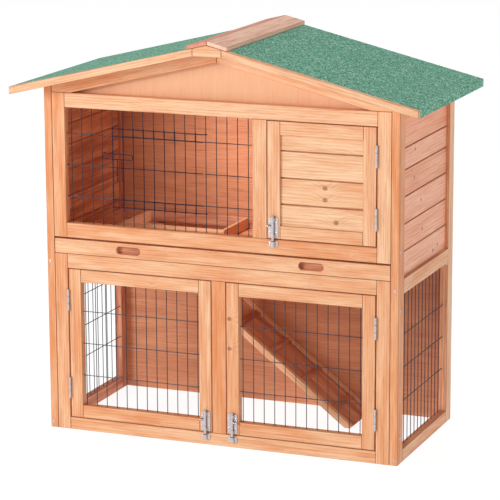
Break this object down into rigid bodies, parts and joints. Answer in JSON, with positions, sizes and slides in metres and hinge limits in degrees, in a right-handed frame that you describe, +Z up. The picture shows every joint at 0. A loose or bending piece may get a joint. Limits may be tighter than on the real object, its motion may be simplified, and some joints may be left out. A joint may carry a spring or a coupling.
{
  "type": "rabbit hutch",
  "caption": "Two-storey wooden rabbit hutch with felted gable roof, mesh window with wire door, solid nest door, mesh run doors, sliding tray and ramp.",
  "frame": {"origin": "on the ground under the middle of the roof", "axes": "+X along the front to the right, +Y towards the back, +Z up"},
  "size_m": [0.968, 0.48, 0.9326],
  "materials": {
    "frame_pine": "planed softwood with a thin honey stain",
    "cladding": "planed tongue-and-groove softwood, thin honey stain",
    "interior_wood": "red-brown stained board",
    "plywood": "thin stained plywood",
    "ridge_wood": "stained softwood, weathered pinkish brown",
    "roofing_felt": "bitumen felt with green mineral granules",
    "galvanised_wire": "galvanised welded wire",
    "zinc_fittings": "bright zinc-plated steel"
  },
  "bodies": {
    "hutch": {"apex_block": "frame_pine", "back_panel": "interior_wood", "bargeboard_front_left": "frame_pine", "bargeboard_front_right": "frame_pine", "bargeboard_rear_left": "frame_pine", "bargeboard_rear_right": "frame_pine", "front_lower_frame": "frame_pine", "front_upper_frame": "frame_pine", "gable_panel": "plywood", "gable_rail_left": "frame_pine", "gable_rail_right": "frame_pine", "left_run_door_bolt_keeper": "zinc_fittings", "left_run_door_lower_hinge_post_leaf": "zinc_fittings", "left_run_door_upper_hinge_post_leaf": "zinc_fittings", "left_side_boards": "cladding", "left_side_frame": "frame_pine", "left_side_mesh": "galvanised_wire", "nest_divider": "interior_wood", "nest_door_bolt_keeper": "zinc_fittings", "nest_door_lower_hinge_post_leaf": "zinc_fittings", "nest_door_upper_hinge_post_leaf": "zinc_fittings", "ramp": "interior_wood", "ramp_ledger": "frame_pine", "ridge_cap_left": "ridge_wood", "ridge_cap_right": "ridge_wood", "right_run_door_bolt_keeper": "zinc_fittings", "right_run_door_lower_hinge_post_leaf": "zinc_fittings", "right_run_door_upper_hinge_post_leaf": "zinc_fittings", "right_side_boards": "cladding", "right_side_frame": "frame_pine", "right_side_mesh": "galvanised_wire", "roof_deck_left": "plywood", "roof_deck_right": "plywood", "roof_felt_left": "roofing_felt", "roof_felt_right": "roofing_felt", "tray_runner_left": "frame_pine", "tray_runner_right": "frame_pine", "window_mesh": "galvanised_wire"},
    "tray": {"tray_front": "frame_pine", "tray_pan": "interior_wood"},
    "nest_door": {"nest_door_boards": "cladding", "nest_door_bolt_plate": "zinc_fittings", "nest_door_frame": "frame_pine", "nest_door_lower_hinge_door_leaf": "zinc_fittings", "nest_door_upper_hinge_door_leaf": "zinc_fittings"},
    "nest_bolt": {"nest_door_bolt": "zinc_fittings"},
    "left_run_door": {"left_run_door_bolt_plate": "zinc_fittings", "left_run_door_frame": "frame_pine", "left_run_door_lower_hinge_door_leaf": "zinc_fittings", "left_run_door_mesh": "galvanised_wire", "left_run_door_upper_hinge_door_leaf": "zinc_fittings"},
    "left_run_bolt": {"left_run_door_bolt": "zinc_fittings"},
    "right_run_door": {"right_run_door_bolt_plate": "zinc_fittings", "right_run_door_frame": "frame_pine", "right_run_door_lower_hinge_door_leaf": "zinc_fittings", "right_run_door_mesh": "galvanised_wire", "right_run_door_upper_hinge_door_leaf": "zinc_fittings"},
    "right_run_bolt": {"right_run_door_bolt": "zinc_fittings"},
    "wire_door": {"wire_door": "galvanised_wire"},
    "wire_latch": {"wire_latch": "galvanised_wire"}
  },
  "joints": [
    {"name": "tray_slide", "type": "slide", "parent": "hutch", "child": "tray", "axis": [0, -1, 0], "range_m": [0, 0.36]},
    {"name": "nest_door_hinge", "type": "hinge", "parent": "hutch", "child": "nest_door", "pos_m": [0.3727, -0.1863, 0.624], "axis": [0, 0, 1], "range_deg": [0, 170]},
    {"name": "nest_bolt_slide", "type": "slide", "parent": "nest_door", "child": "nest_bolt", "axis": [0, 0, 1], "range_m": [-0.012, 0.008]},
    {"name": "left_run_door_hinge", "type": "hinge", "parent": "hutch", "child": "left_run_door", "pos_m": [-0.3727, -0.1863, 0.2], "axis": [0, 0, -1], "range_deg": [0, 170]},
    {"name": "left_run_bolt_slide", "type": "slide", "parent": "left_run_door", "child": "left_run_bolt", "axis": [0, 0, 1], "range_m": [-0.012, 0.008]},
    {"name": "right_run_door_hinge", "type": "hinge", "parent": "hutch", "child": "right_run_door", "pos_m": [0.3727, -0.1863, 0.2], "axis": [0, 0, 1], "range_deg": [0, 170]},
    {"name": "right_run_bolt_slide", "type": "slide", "parent": "right_run_door", "child": "right_run_bolt", "axis": [0, 0, 1], "range_m": [-0.012, 0.008]},
    {"name": "wire_door_hinge", "type": "hinge", "parent": "hutch", "child": "wire_door", "pos_m": [-0.0312, -0.1741, 0.62425], "axis": [0, 0, 1], "range_deg": [0, 105]},
    {"name": "wire_latch_slide", "type": "slide", "parent": "wire_door", "child": "wire_latch", "axis": [1, 0, 0], "range_m": [-0.0035, 0.014]}
  ]
}
